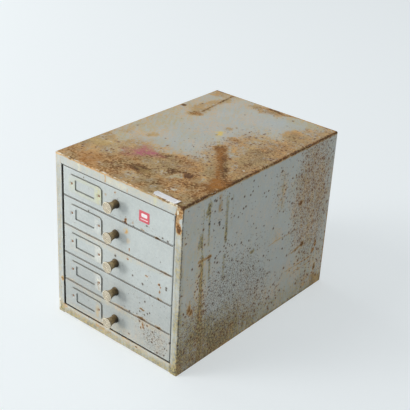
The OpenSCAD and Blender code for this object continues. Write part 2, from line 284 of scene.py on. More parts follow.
# 1 along a straight line from start to end, such as a drip, a scratch or a worn edge
def makeRun():
    group, source, result = makeGroup("run", [
        ("Position", "vector", None), ("Start", "vector", None), ("End", "vector", (0.0, 0.0, 0.1)),
        ("Width", "value", 0.002), ("Softness", "value", 0.5),
    ], [("Mask", "value")])
    whole = vectorCalc(group, "SUBTRACT", source["End"], source["Start"])
    away = vectorCalc(group, "SUBTRACT", source["Position"], source["Start"])
    share = hold(group, calc(group, "DIVIDE", vectorCalc(group, "DOT_PRODUCT", away, whole, output="Value"),
                             vectorCalc(group, "DOT_PRODUCT", whole, whole, output="Value")))
    aside = vectorCalc(group, "SUBTRACT", away, scaleVector(group, whole, share))
    ratio = calc(group, "DIVIDE", vectorCalc(group, "LENGTH", aside, output="Value"), source["Width"])
    feed(group, result["Mask"], ease(group, ratio, calc(group, "SUBTRACT", 1.0, source["Softness"]),
                                     calc(group, "ADD", 1.0, source["Softness"]), 1.0, 0.0))
    return group


# nearness to the edges of a box, 1 on the edge and 0 at the given width from it
def makeBoxEdge():
    group, source, result = makeGroup("boxEdge", [
        ("Position", "vector", None), ("Centre", "vector", None), ("HalfSize", "vector", (0.1, 0.1, 0.1)),
        ("Width", "value", 0.004), ("Breakup", "value", 0.003),
    ], [("Mask", "value")])
    away = vectorCalc(group, "ABSOLUTE", vectorCalc(group, "SUBTRACT", source["Position"], source["Centre"]))
    x, y, z = splitVector(group, vectorCalc(group, "SUBTRACT", source["HalfSize"], away))
    pairs = [calc(group, "MAXIMUM", x, y), calc(group, "MAXIMUM", y, z), calc(group, "MAXIMUM", x, z)]
    nearest = calc(group, "MINIMUM", calc(group, "MINIMUM", pairs[0], pairs[1]), pairs[2])
    ragged = calc(group, "MULTIPLY", swing(group, cloud(group, source["Position"], 90.0, 6.0, 0.65), 1.0),
                  source["Breakup"])
    inward = calc(group, "ADD", nearest, ragged)
    feed(group, result["Mask"], ease(group, inward, 0.0, source["Width"], 1.0, 0.0))
    return group


# round pits where rust has come through in points, each with a rim
def makeFreckles():
    group, source, result = makeGroup("freckles", [
        ("Position", "vector", None), ("Amount", "value", 0.2), ("Cell", "value", 0.004),
    ], [("Dots", "value"), ("Rims", "value")])
    cells = addNode(group, "ShaderNodeTexVoronoi", {
        "Vector": source["Position"], "Scale": calc(group, "DIVIDE", 1.0, source["Cell"])})
    chance = addNode(group, "ShaderNodeSeparateColor", {0: cells.outputs["Color"]}).outputs
    there = calc(group, "LESS_THAN", chance["Red"], source["Amount"])
    size = calc(group, "ADD", 0.20, calc(group, "MULTIPLY", calc(group, "POWER", chance["Green"], 1.7), 0.26))
    distance = cells.outputs["Distance"]
    core = calc(group, "MULTIPLY", size, 0.6)
    dot = ease(group, distance, core, calc(group, "MULTIPLY", size, 1.15), 1.0, 0.0)
    rim = ease(group, distance, size, calc(group, "MULTIPLY", size, 2.2), 1.0, 0.0)
    feed(group, result["Dots"], calc(group, "MULTIPLY", dot, there))
    feed(group, result["Rims"], calc(group, "MULTIPLY", rim, there))
    return group


# old stove paint and what has come over it: a tan film, grime, rust stains, rust pits and chips.
# Film, Grime, Rust, Pits and Chips say how much of each there is, from 0 for none to 1
def makeOldPaint(freckles, warp):
    group, source, result = makeGroup("oldPaint", [
        ("Position", "vector", None), ("Paint", "colour", (0.50, 0.54, 0.53, 1.0)), ("Film", "value", 0.1),
        ("Grime", "value", 0.0), ("Rust", "value", 0.0), ("Pits", "value", 0.1), ("Chips", "value", 0.0),
        ("Staining", "value", 0.9),
    ], [("Colour", "colour"), ("Roughness", "value"), ("Normal", "vector")])
    where = source["Position"]
    slow = cloud(group, where, 14.0, 3.0, 0.5)
    mid = cloud(group, where, 75.0, 5.0, 0.6, 0.31)
    blotch = cloud(group, where, 48.0, 10.0, 0.68, 1.7)
    fine = cloud(group, where, 330.0, 6.0, 0.7, 2.9)
    grit = cloud(group, where, 1300.0, 2.0, 0.5)
    hue = cloud(group, where, 30.0, 5.0, 0.6, 4.3)

    shade = calc(group, "ADD", 1.0, calc(group, "ADD", swing(group, slow, 0.22), calc(
        group, "ADD", swing(group, mid, 0.20), calc(group, "ADD", swing(group, fine, 0.46),
                                                    swing(group, grit, 0.30)))))
    colour = vectorCalc(group, "MULTIPLY", source["Paint"], joinVector(group, shade, shade, shade))

    turned = addNode(group, "ShaderNodeMapping", {"Vector": where, "Rotation": (0.0, 0.0, -0.95),
                     "Scale": (1.0, 0.22, 1.0)}, vector_type="TEXTURE").outputs[0]
    wiped = cloud(group, turned, 60.0, 7.0, 0.65, 0.9)
    strokes = ease(group, wiped, 0.36, 0.64, 0.45, 1.40)
    speckle = ease(group, fine, 0.38, 0.62, 0.40, 1.60)
    film = hold(group, calc(group, "MULTIPLY", source["Film"], calc(group, "MULTIPLY", strokes, speckle)))
    colour = blend(group, film, colour, blend(group, ease(group, hue, 0.35, 0.65), (0.71, 0.515, 0.29, 1.0),
                                              (0.57, 0.49, 0.29, 1.0)))

    dripPlace = vectorCalc(group, "MULTIPLY", where, (1.0, 1.0, 0.13))
    drips = cloud(group, dripPlace, 190.0, 6.0, 0.65, 0.4)
    grimeField = calc(group, "MULTIPLY", source["Grime"], calc(group, "ADD", 1.0, calc(
        group, "ADD", swing(group, drips, 1.9), calc(group, "ADD", swing(group, blotch, 2.4),
                                                     swing(group, fine, 3.2)))))
    grime = ease(group, grimeField, 0.10, 0.90)
    colour = blend(group, calc(group, "MULTIPLY", grime, 0.92), colour, blend(
        group, ease(group, fine, 0.45, 0.55), (0.085, 0.063, 0.020, 1.0), (0.46, 0.385, 0.175, 1.0)))

    # the stain spreads softly round the rust, which comes through it in grains
    patchy = calc(group, "ADD", 1.0, calc(group, "ADD", swing(group, blotch, 2.7), swing(group, mid, 2.0)))
    stainField = calc(group, "MULTIPLY", source["Rust"], calc(group, "ADD", patchy, swing(group, fine, 2.4)))
    rustField = calc(group, "MULTIPLY", source["Rust"], calc(group, "ADD", patchy, swing(group, fine, 4.8)))
    stain = calc(group, "MULTIPLY", ease(group, stainField, 0.04, 0.35), source["Staining"])
    rust = ease(group, rustField, 0.44, 0.76)
    scale = ease(group, rustField, 0.80, 1.20)
    warm = ease(group, hue, 0.38, 0.62)
    tone = calc(group, "ADD", 1.0, swing(group, mid, 1.8))
    tan = vectorCalc(group, "MULTIPLY", joinVector(group, tone, tone, tone), blend(
        group, warm, (0.48, 0.33, 0.145, 1.0), (0.58, 0.335, 0.125, 1.0)))
    colour = blend(group, stain, colour, tan)
    colour = blend(group, calc(group, "MULTIPLY", rust, 0.92), colour,
                   blend(group, warm, (0.21, 0.125, 0.042, 1.0), (0.31, 0.135, 0.034, 1.0)))
    colour = blend(group, calc(group, "MULTIPLY", scale, 0.9), colour, (0.10, 0.045, 0.018, 1.0))

    chipField = calc(group, "MULTIPLY", source["Chips"], calc(
        group, "ADD", 1.0, calc(group, "ADD", swing(group, mid, 2.5), swing(group, fine, 1.6))))
    chip = ease(group, chipField, 0.5, 0.58)
    colour = blend(group, chip, colour, blend(group, ease(group, fine, 0.35, 0.65), (0.80, 0.76, 0.62, 1.0),
                                              (0.68, 0.63, 0.50, 1.0)))

    pitPlace = useGroup(group, warp, Position=where, Amount=0.0018, Scale=700.0)["Position"]
    large = useGroup(group, freckles, Position=pitPlace, Amount=calc(group, "MULTIPLY", source["Pits"], 0.7),
                     Cell=0.0040)
    small = useGroup(group, freckles, Position=vectorCalc(group, "ADD", pitPlace, (0.31, 0.17, 0.53)),
                     Amount=calc(group, "MULTIPLY", source["Pits"], 0.9), Cell=0.0021)
    grains = calc(group, "MULTIPLY", ease(group, cloud(group, where, 640.0, 2.0, 0.5, 5.1), 0.54, 0.62),
                  ease(group, source["Pits"], 0.15, 0.80))
    rims = calc(group, "MAXIMUM", large["Rims"], calc(group, "MULTIPLY", small["Rims"], 0.6))
    pits = calc(group, "MAXIMUM", large["Dots"], calc(group, "MULTIPLY", calc(
        group, "MAXIMUM", small["Dots"], grains), 0.85))
    # pits are black on clean paint and red-brown where rust stains it
    around = ease(group, calc(group, "ADD", source["Film"], source["Rust"]), 0.0, 0.6)
    rimShare = calc(group, "MULTIPLY", rims, calc(group, "MULTIPLY_ADD", around, 0.45, 0.10))
    colour = blend(group, rimShare, colour, (0.33, 0.175, 0.075, 1.0))
    colour = blend(group, calc(group, "MULTIPLY", pits, 0.85), colour, blend(
        group, around, (0.055, 0.042, 0.028, 1.0), (0.15, 0.060, 0.027, 1.0)))
    feed(group, result["Colour"], colour)

    bare = calc(group, "MAXIMUM", rust, pits)
    cover = calc(group, "MAXIMUM", calc(group, "MULTIPLY", grime, 0.8), calc(group, "MAXIMUM", film, stain))
    worn = calc(group, "MAXIMUM", bare, calc(group, "MULTIPLY", cover, 0.6))
    dullness = ease(group, worn, 0.0, 1.0, 0.42, 0.88)
    feed(group, result["Roughness"], hold(group, calc(group, "ADD", dullness, swing(group, mid, 0.2))))
    # sound paint is nearly smooth, rust is rough; the height has only noises, which keeps it quick
    relief = calc(group, "MULTIPLY_ADD", bare, 0.55, calc(group, "MULTIPLY_ADD", stain, 0.22, 0.07))
    height = calc(group, "ADD", fine, calc(group, "MULTIPLY", grit, 0.35))
    bump = addNode(group, "ShaderNodeBump", {"Strength": relief, "Distance": 0.0005, "Height": height})
    feed(group, result["Normal"], bump.outputs[0])
    return group


groups = {"warp": makeWarp(), "spot": makeSpot(), "run": makeRun(), "boxEdge": makeBoxEdge(),
          "freckles": makeFreckles()}
groups["oldPaint"] = makeOldPaint(groups["freckles"], groups["warp"])
print("node groups built:", ", ".join(groups))


# the two axes along each face of the casing, the axis across it and the level it lies at
low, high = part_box("shell")
faces = {
    "top": (0, 1, 2, high.z), "bottom": (0, 1, 2, low.z),
    "right": (1, 2, 0, high.x), "left": (1, 2, 0, low.x),
    "front": (0, 2, 1, low.y), "back": (0, 2, 1, high.y),
}
smallMark = 6.0                              # spots up to this radius, in mm, move with the finer noise
runSoftness = 0.9                            # fade on each side of a run's outline, in run widths
wideWander = 38.0                            # scale of the noise that moves the large spots
narrowWander = (0.005, 210.0)                # amount in metres and noise scale for small spots and runs


def onFace(face, across, up, level=None):
    first, second, third, faceLevel = faces[face]
    point = Vector()
    point[first] = across * mm
    point[second] = up * mm
    point[third] = faceLevel if level is None else level * mm
    return point


# a ragged place for the marks on each face: it stays true along the axis that crosses the face,
# so that they end at its edges
def facePlaces(tree, place, amount, scale):
    plain = splitVector(tree, place)
    ragged = splitVector(tree, useGroup(
        tree, groups["warp"], Position=place, Amount=amount, Scale=scale)["Position"])
    return [joinVector(tree, *[plain[i] if i == axis else ragged[i] for i in range(3)]) for axis in range(3)]


# adds marks to a starting value, face by face and in mm: five numbers make a spot, with its middle,
# its two radii and its strength; six make a run, with its two ends, its width and its strength.
# A spot reaches round the edges of its face by the given depth
def markField(tree, wide, narrow, marks, depth, start=0.0):
    total = start
    for face, entries in marks.items():
        axis = faces[face][2]
        for entry in entries:
            if len(entry) == 5:
                where = wide if max(entry[2:4]) > smallMark else narrow
                mask = useGroup(tree, groups["spot"], Position=where[axis], Centre=onFace(face, *entry[:2]),
                                Radius=onFace(face, *entry[2:4], depth))["Mask"]
            else:
                mask = useGroup(tree, groups["run"], Position=narrow[axis], Start=onFace(face, *entry[:2]),
                                End=onFace(face, *entry[2:4]), Width=entry[4] * mm,
                                Softness=runSoftness)["Mask"]
            total = calc(tree, "MULTIPLY_ADD", mask, entry[-1], total)
    return total


# brings every drawer's place down to that of the lowest one, for what all of them share
def wrapHeight(tree, place, lowest, pitch):
    x, y, z = splitVector(tree, place)
    return joinVector(tree, x, y, calc(tree, "WRAP", z, lowest + pitch, lowest))


# a new material, with its tree, its shader and the place on the object
def newMaterial(name):
    material = bpy.data.materials.new(name)
    material.use_nodes = True
    tree = material.node_tree
    place = addNode(tree, "ShaderNodeTexCoord").outputs["Object"]
    return material, tree, tree.nodes["Principled BSDF"], place


def paintMaterial(name, look, wrap=None):
    material, tree, shader, place = newMaterial(name)
    wide = facePlaces(tree, place, look["ragged"], wideWander)
    narrow = facePlaces(tree, place, *narrowWander)
    shared = wrapHeight(tree, place, *wrap) if wrap else place
    lowCorner, highCorner = look["box"]
    edge = useGroup(tree, groups["boxEdge"], Position=shared, Centre=(lowCorner + highCorner) / 2,
                    HalfSize=(highCorner - lowCorner) / 2, Width=look["edgeWidth"],
                    Breakup=look["edgeBreakup"])["Mask"]
    amounts = {}
    for layer in ("Film", "Grime", "Rust", "Pits", "Chips"):
        key = layer.lower()
        marks = look["marks"].get(key, {})
        amounts[layer] = markField(tree, wide, narrow, marks, look["markDepth"], look[key])
    amounts["Rust"] = calc(tree, "MULTIPLY_ADD", edge, look["edgeRust"], amounts["Rust"])
    amounts["Chips"] = calc(tree, "MULTIPLY_ADD", edge, look["edgeChips"], amounts["Chips"])
    for layer, amount in amounts.items():
        if isinstance(amount, bpy.types.NodeSocket):
            amounts[layer] = calc(tree, "MAXIMUM", amount, 0.0)
    paint = (*look["paint"], 1.0)
    if "paintedShade" in look:                     # painted shade: two levels between which the paint darkens downwards, and its colour below them
        start, end, shadedColour = look["paintedShade"]
        paint = blend(tree, ease(tree, splitVector(tree, place)[2], start, end), (*shadedColour, 1.0), paint)
    old = useGroup(tree, groups["oldPaint"], Position=place, Paint=paint, Staining=look["staining"],
                   **amounts)
    colour = old["Colour"]
    for tint, marks in look["marks"].get("tints", ()):
        mask = markField(tree, wide, narrow, marks, look["markDepth"])
        broken = calc(tree, "MULTIPLY", mask, ease(tree, cloud(tree, place, 260.0, 6.0, 0.7), 0.36, 0.52))
        colour = blend(tree, calc(tree, "MINIMUM", broken, 1.0), colour, (*tint, 1.0))
    for tint, marks in look["marks"].get("shared", ()):
        mask = markField(tree, [shared] * 3, [shared] * 3, marks, look["markDepth"])
        colour = blend(tree, calc(tree, "MINIMUM", mask, 1.0), colour, (*tint, 1.0))
    feed(tree, shader.inputs["Base Color"], colour)
    feed(tree, shader.inputs["Roughness"], old["Roughness"])
    shader.inputs["Specular IOR Level"].default_value = 0.35
    feed(tree, shader.inputs["Normal"], old["Normal"])
    return material


def dress(material, names):
    for name in names:
        for slot in nodes[name].material_slots:
            slot.material = material


drawerNumbers = range(1, sum(name.startswith("drawer_") for name in frame["bodies"]) + 1)
fronts = [f"drawer_{n}_front" for n in drawerNumbers]
labelFrames = [f"drawer_{n}_label_frame" for n in drawerNumbers]
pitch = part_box(fronts[0])[0].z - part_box(fronts[1])[0].z
halfGap = 0.4                                # mm, half the gap between two fronts
gapLevels = [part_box(name)[0].z / mm - halfGap for name in fronts]    # the gap under each drawer, in mm

paintColour = (0.497, 0.538, 0.526)
# painted shade for the lower part of the drawer fronts
shadedPaint = (0.418, 0.448, 0.436)
pinkTint = (0.50, 0.15, 0.18)
yellowTint = (0.80, 0.60, 0.15)
ochreTint = (0.66, 0.46, 0.17)
orangeTint = (0.56, 0.26, 0.075)
rustTint = (0.40, 0.17, 0.036)
creamTint = (0.74, 0.69, 0.50)
# painted highlight, for the lit right ends of the label frames
highlightTint = (0.74, 0.73, 0.66)
oliveTint = (0.60, 0.60, 0.36)
sootTint = (0.045, 0.04, 0.035)

casingMarks = {
    "film": {
        "top": [(0, 0, 170, 240, 0.34), (-84, 40, 30, 140, 0.38), (78, 20, 40, 130, 0.44),
                (0, -108, 130, 55, 0.5), (-10, 142, 110, 14, 0.3), (38, 108, 26, 22, -0.24),
                (-55, -28, 8, 12, 0.4)],
        "right": [(0, 100, 220, 180, 0.12), (102, 150, 44, 74, 0.34),
                  (60, 18, 130, 40, 0.22), (-130, 120, 26, 110, 0.16), (36, 176, 8, 30, 0.3),
                  (30, 116, 9, 12, 0.3), (-112, 70, 12, 80, 0.26), (110, 60, 40, 40, 0.16)],
        "front": [(-100, 216, 100, 216, 6.0, 0.20), (-98, 6, 98, 6, 8.0, 0.36),
                  (-96, 205, -96, 10, 6.0, 0.10), (96, 190, 96, 10, 6.0, 0.06)],
        "left": [(60, 60, 80, 50, 0.3), (-80, 150, 60, 60, 0.2), (0, 100, 200, 160, 0.10)],
        "back": [(0, 30, 110, 40, 0.34), (50, 150, 50, 60, 0.2), (0, 110, 140, 160, 0.10)],
        "bottom": [(0, 0, 110, 160, 0.4)],
    },
    "grime": {
        "right": [(-104, 8, 66, 44, 0.54), (-60, 34, 70, 36, 0.34), (70, 4, 120, 24, 0.46),
                  (-125, 76, 22, 30, 0.34), (-112, 146, -111, 2, 2.2, 0.90),
                  (-112, 140, -111.5, 56, 3.0, 0.5), (-107, 80, -107, 3, 0.8, 0.6),
                  (-113, 206, -113, 148, 1.2, 0.60), (-98.5, 142, -98, 112, 1.8, 0.75),
                  (-116, 164, 4, 8, 0.6), (-104, 208, -102, 158, 2.2, 0.66), (-72, 208, -71, 150, 2.6, 0.70),
                  (-72, 132, -72, 97, 2.4, 0.52), (-62, 206, -62, 168, 1.6, 0.34),
                  (-148, 220, 148, 220, 2.4, 0.60), (37, 200, 37, 152, 2.2, 0.42),
                  (29, 122, 33, 110, 2.4, 0.36), (-104, 202, 3.4, 9, 0.6), (-17, 114, 6, 3, 0.7),
                  (-47, 118, 4, 3, 0.5), (141, 8, 14, 12, 0.4), (-148, 0.5, 148, 0.5, 1.4, 0.7)],
        "front": [(96, 190, 96, 5, 6.0, 0.50), (-96, 205, -96, 5, 5.0, 0.36), (-98, 4, 98, 4, 6.0, 0.58)],
        "left": [(0, 8, 150, 24, 0.5), (90, 60, 40, 60, 0.30), (-60, 190, -60, 90, 1.8, 0.7),
                 (20, 200, 20, 150, 1.5, 0.55)],
        "back": [(0, 10, 100, 28, 0.55), (30, 210, 30, 120, 1.8, 0.6), (-20, 205, -20, 150, 1.5, 0.5)],
        "top": [(10, -112, 100, 40, 0.20), (38, -118, 14, 14, 0.35)],
    },
    "rust": {
        "top": [(0, -124, 190, 68, 0.45), (52, -6, 34, 66, 0.22), (92, 40, 24, 140, 0.27),
                (-92, 0, 14, 150, 0.08), (28, 3, 44, -15, 5.5, 0.50), (44, -15, 70, -46, 5.0, 0.50),
                (70, -46, 92, -80, 4.5, 0.50), (40, -10, 66, -44, 1.8, 0.3), (68, -50, 90, -84, 1.5, 0.4),
                (-76, -92, 30, 26, -0.18), (90, -84, 11, 15, 0.60), (31, -1, 7, 8, 0.45),
                (52, -22, 6, 8, 0.50), (30, -89, 6, 9, 0.6), (50, -87, 10, 5, 0.6), (0, -111, 12, 7, 0.5),
                (38, -121, 7, 9, 0.4), (-5, -66, 14, 8, 0.40), (-30, -120, 20, 12, 0.2),
                (70, -110, 20, 14, 0.15), (20, -60, 14, 10, 0.22), (42, -96, 6, 8, -0.4),
                (6, -130, 12, 7, -0.3), (-77, -60, 14, 10, -0.25), (76, -86, 7, 8, -0.35),
                (-52, -98, 12, 8, -0.15), (-68, 100, 11, 44, 0.26), (-65, 62, 8, 9, 0.45),
                (-69, 146, -62, 74, 1.3, 0.60), (-94, 73, 3, 3, 0.9), (-55, -28, 5, 8, 0.2),
                (-8, 138, 22, 10, 0.35), (10, 147, 20, 4, 0.55), (66, 95, 13, 16, 0.26),
                (-90, 140, 12, 12, 0.25), (-1, 52, 6, 6, 0.28), (25, 31, 8, 8, 0.35),
                (60, 60, 12, 12, 0.15), (30, 58, 16, 12, 0.12), (100, -148, 100, 148, 2.2, 0.56),
                (-100, 148, 100, 148, 1.8, 0.3), (-100, -148, -100, 148, 1.6, 0.25),
                (-100, -148, 100, -148, 1.2, 0.06)],
        "right": [(-112, 142, -111, 60, 1.2, 0.22), (-118, 141, -97, 141, 1.6, 0.72),
                  (-85, 214, -85, 196, 3.0, 0.24), (-130, 86, 3.6, 9, 0.7), (-127, 79, 3, 4, 0.6),
                  (-106, 6, 60, 26, 0.08), (-30, 8, 34, 16, 0.06), (104, 158, 36, 64, 0.10),
                  (93, 80, 3.2, 3.4, 1.2), (80, 78, 16, 2.4, 0.4), (125, 68, 2.2, 4.5, 1.1),
                  (121, 59, 3.2, 3.0, 1.1), (129, 30, 2.6, 5, 1.1), (80, 144, 3.2, 2.8, 1.0),
                  (16, 108, 62, 108, 0.6, 0.36), (60, 52, 120, 51, 0.8, 0.32), (75, 44, 120, 43, 0.6, 0.26),
                  (141, 8, 14, 12, 0.2), (115, 14, 26, 9, 0.18), (148, 4, 148, 110, 1.4, 0.4),
                  (-148, 221, 148, 221, 1.6, 0.3)],
        "front": [(96, 208, 5, 14, 0.7), (95, 193, 3.2, 5, 0.9), (-17, 211, -17, 218, 0.9, 0.35),
                  (18, 211, 18, 214, 0.8, 0.3), (-88, 11, 4, 3, 0.2), (-20, 9, 10, 3.5, 0.26),
                  (-98, 13, 98, 13, 0.8, 0.14), (30, 9, 40, 4, 0.08), (-60, 7, 34, 4, 0.08),
                  (-92, 50, 2, 3, 0.6), (-80, 221, 14, 2, 0.36), (86, 221, 16, 3, 0.4)],
        "left": [(70, 40, 60, 44, 0.09), (-148, 2, -148, 221, 1.2, 0.3), (-148, 0, 148, 0, 1.8, 0.4),
                 (148, 0, 148, 221, 1.6, 0.4), (110, 170, 30, 40, 0.08), (-110, 20, 40, 26, 0.10),
                 (96, 150, 3, 4, 0.9), (62, 70, 3.4, 3, 0.9), (-104, 44, 3, 5, 0.8)],
        "back": [(0, 12, 110, 28, 0.12), (-60, 140, 30, 60, 0.07), (70, 90, 34, 46, 0.07),
                 (-52, 128, 3, 4, 0.9), (66, 100, 3.2, 3.2, 0.9)],
        "bottom": [(0, 0, 110, 160, 0.20)],
    },
    "pits": {
        "top": [(54, -2, 46, 90, 0.34), (90, 60, 22, 110, 0.36), (0, -112, 130, 50, 0.26),
                (-8, 138, 26, 10, 0.3)],
        "right": [(103, 152, 38, 80, 0.95), (108, 170, 26, 44, 0.3), (-52, 62, 54, 46, 0.90),
                  (-108, 34, 46, 50, 0.85), (0, 36, 50, 34, 0.28), (118, 46, 32, 50, 0.30),
                  (-60, 112, 70, 34, 0.16), (0, 110, 130, 100, 0.04),
                  (-100, 190, 40, 30, 0.12), (36, 176, 16, 34, 0.3)],
        "left": [(60, 60, 70, 60, 0.5), (-90, 160, 40, 50, 0.3)],
        "back": [(0, 40, 100, 50, 0.4), (60, 160, 40, 50, 0.25)],
        "bottom": [(0, 0, 110, 160, 0.4)],
    },
    "chips": {
        "front": [(92.5, 213, 2.0, 5, 0.6), (-98, 15, 2.6, 8, 0.65), (82, 217, 10, 1.6, 0.5)],
        "top": [(65, -124, 7, 4, 0.56), (60, -130, 4, 2.4, 0.6), (-82, -86, 11, 4, 0.46),
                (88, -30, 2.4, 2, 0.7), (93, -139, 3.4, 2.4, 0.62), (-100, -148.4, 90, -148.4, 1.0, 0.56),
                (100, -140, 100, 140, 0.8, 0.42)],
    },
    "tints": [
        (pinkTint, {"top": [(-27, -71, 13, 10, 0.75), (-38, -84, 14, 12, 0.35), (-12, -74, 14, 8, 0.35)]}),
        (yellowTint, {"top": [(-2, 34, 6, 7.5, 1.2), (4, 24, 22, 6, 2.4, 0.3)]}),
        (ochreTint, {"top": [(-84, -90, 14, 7, 0.6), (-72, -84, 8, 4, 0.5), (5, -112, 14, 3, 0.35)]}),
        (orangeTint, {"top": [(-62, -134, 16, 9, 0.45), (-44, -142, 16, 5, 0.4), (-68, -122, 9, 7, 0.3),
                              (-65, 62, 5, 7, 0.5)]}),
        (rustTint, {"top": [(33, -4, 92, -84, 4.2, 0.8), (90, -84, 12, 15, 0.8)]}),
        (oliveTint, {"front": [(60, 209, 60, 218, 2.0, 0.7)]}),
        (creamTint, {"front": [(-60, 210.5, -60, 218, 1.8, 0.7), (-12, 213.8, 14, 213.8, 3.4, 0.42),
                               (82, 217.5, 9, 1.4, 0.5)]}),
        (sootTint, {"right": [(-103, 184.5, 1.9, 1.9, 1.0), (-95, 211, 1.7, 1.7, 1.0),
                              (-85, 180, 1.6, 1.6, 1.0), (-147.6, 30, -147.6, 217, 0.8, 0.8)]}),
    ],
}
casingLook = {
    "paint": paintColour,
    "box": (low, high),
    "film": 0.05,
    "grime": 0.0,
    "rust": 0.03,
    "pits": 0.014,
    "chips": 0.0,
    "staining": 0.9,                         # how well the tan round the rust covers the paint
    "edgeRust": 0.045,
    "edgeWidth": 0.0016,
    "edgeBreakup": 0.003,
    "edgeChips": 0.12,
    "ragged": 0.034,                         # metres
    "markDepth": 2.5,                        # mm
    "marks": casingMarks,
}
dress(paintMaterial("casingPaint", casingLook), ["shell", "back_panel", "bottom_pan"])
print("casing painted")

# the lowest label frame's place, in mm, for the dirt and the marks that all of them share
frameLow, frameHigh = [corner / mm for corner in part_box(labelFrames[-1])]
frameMid = (frameLow.z + frameHigh.z) / 2
frontMarks = {
    "film": {"front": [(60, 34, 34, 22, 0.10), (-20, 20, 60, 8, 0.2), (0, 128, 80, 4, 0.2),
                       (10, 50, 80, 4, 0.25)]},
    "rust": {"front": [
        (16, 173.5, 1.8, 3.6, 1.2), (14, 171, 3.4, 1.2, 0.8), (64, 170.5, 4.4, 1.2, 1.0),
        (27, 175, 1.6, 1.8, 0.6), (-16, 195, 1.6, 1.8, 0.6), (-1, 203, 1.3, 1.3, 1.0), (42, 172, 3, 1.2, 0.6),
        (22, 138, 1.2, 2.4, 0.6), (20, 149, 3.5, 4, 0.13), (50, 115, 2.6, 1.3, 0.6), (69, 112, 1.8, 1.6, 1.0),
        (71.5, 109, 1.4, 1.4, 0.8), (71, 103, 1.4, 2.4, 0.7), (70, 93, 4, 1.8, 0.7),
        (20, 125, 1.3, 1.5, 1.0), (44, 67, 4, 1.3, 0.8),
        (10, 54, 12, 1.8, 0.55), (45, 54, 7, 2.0, 0.9), (70, 54, 5, 2.0, 0.9), (46, 46, 1.6, 5, 0.55),
        (43, 41, 1.2, 3, 0.5), (72, 31, 6, 15, 0.09), (62, 36, 4, 9, 0.07),
        (-87, gapLevels[0], 87, gapLevels[0], 0.7, 0.14), (-87, gapLevels[1], 87, gapLevels[1], 0.8, 0.26),
        (-87, gapLevels[2], 87, gapLevels[2], 0.8, 0.22), (-87, gapLevels[3], 87, gapLevels[3], 0.9, 0.26),
        (-87, gapLevels[4], 87, gapLevels[4], 1.1, 0.16), (-60, 129.5, 40, 129.5, 1.4, 0.12),
        (76, 130, 8, 2, 0.4), (-74, 54, 8, 2, 0.3), (-30, 15, 30, 3, 0.2)]},
    "pits": {"front": [(68, 32, 15, 20, 0.6), (46, 36, 12, 16, 0.3), (32, 84, 14, 6, 0.3),
                       (60, 100, 34, 34, 0.08), (46, 60, 14, 12, 0.3), (40, 175, 40, 6, 0.2),
                       (44, 40, 40, 20, 0.06)]},
    "chips": {"front": [(47, 49, 2.4, 2.4, 0.6)]},
    "tints": [(ochreTint, {"front": [(16.5, 160.5, 3.6, 3.6, 0.85), (20, 149, 3, 3.4, 0.22)]}),
              (orangeTint, {"front": [(17, 159.5, 2.0, 2.0, 0.7)]})],
    "shared": [
        # painted shade in the gaps between the drawer fronts, along each front's lower edge and along its
        # upper edge
        ((0.062, 0.040, 0.022), {"front": [
            (-87, gapLevels[-1], 87, gapLevels[-1], 0.5, 2.0),
            (-87, gapLevels[-2] - 0.8, 87, gapLevels[-2] - 0.8, 0.38, 1.8)]}),
        ((0.12, 0.105, 0.08), {"front": [        # painted shade along the edges of the label frames: above the top edge, right of the right edge and along the window's left and lower edges
            (frameLow.x + 3, frameHigh.z + 0.3, frameHigh.x - 3, frameHigh.z + 0.3, 0.5, 0.9),
            (frameHigh.x + 0.3, frameLow.z + 2, frameHigh.x + 0.3, frameHigh.z - 3, 0.5, 1.3),
            (-66.5, frameMid - 6, -66.5, frameMid + 6, 0.55, 1.2),
            (-66, frameMid - 6.4, -34, frameMid - 6.4, 0.5, 0.9)]})],
}
# the fronts' paint carries painted shade, darker towards the bottom
frontLook = dict(casingLook, box=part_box(fronts[-1]), film=0.03, rust=0.02, pits=0.020, staining=0.4,
                 edgeRust=0.07, edgeWidth=0.0009, edgeBreakup=0.002, edgeChips=0.15, ragged=0.010,
                 markDepth=6.0, marks=frontMarks, paintedShade=(0.060, 0.122, shadedPaint))
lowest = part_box(fronts[-1])[0].z - halfGap * mm
dress(paintMaterial("drawerPaint", frontLook, (lowest, pitch)), fronts)

frameMarks = {
    "film": {"front": [(-49, 112, 34, 14, 0.1)]},
    "rust": {"front": [(-27, 70, 2.0, 3, 0.7), (-26, 65, 1.4, 2, 0.8), (-27, 189, 2.6, 12, 0.16),
                       (-28, 30, 3, 10, 0.25)]},
    # the three runs down x = -24 are painted highlights along the rounded right edges of the second to fourth
    # frames; the spot is a chip
    "chips": {"front": [(-24, 160, -24, 142, 1.3, 0.75), (-24, 122, -24, 104, 1.5, 0.85),
                        (-24, 84, -24, 68, 1.5, 0.80), (-27, 76, 2.4, 2.4, 0.6)]},
    "tints": [(oliveTint, {"front": [(-49, 189, 36, 12, 0.4), (-27, 189, 6, 14, 0.4)]}),
              (ochreTint, {"front": [(-28, 33, 4, 11, 0.35)]}),
              # painted highlight on the right ends of the second to fourth label frames
              (highlightTint, {"front": [(-27, 112, 6.5, 14, 0.55), (-27, 74, 6.5, 13, 0.55),
                                    (-30, 150, 5, 10, 0.4)]})],
    "shared": [((0.33, 0.21, 0.10), {"front": [
        (-66, frameMid - 6.6, -34, frameMid - 6.6, 0.7, 0.5),
        (frameLow.x + 2, frameHigh.z, frameHigh.x - 6, frameHigh.z, 0.7, 0.3)]})],
}
frameLook = dict(frontLook, box=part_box(labelFrames[-1]), edgeRust=0.15, edgeChips=0.45, edgeWidth=0.001,
                 pits=0.0, marks=frameMarks)
dress(paintMaterial("labelFramePaint", frameLook, (lowest, pitch)), labelFrames)
trayLook = dict(frontLook, paint=(0.38, 0.42, 0.41), box=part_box("drawer_5_tray"), film=0.12, rust=0.12,
                pits=0.08, marks={})
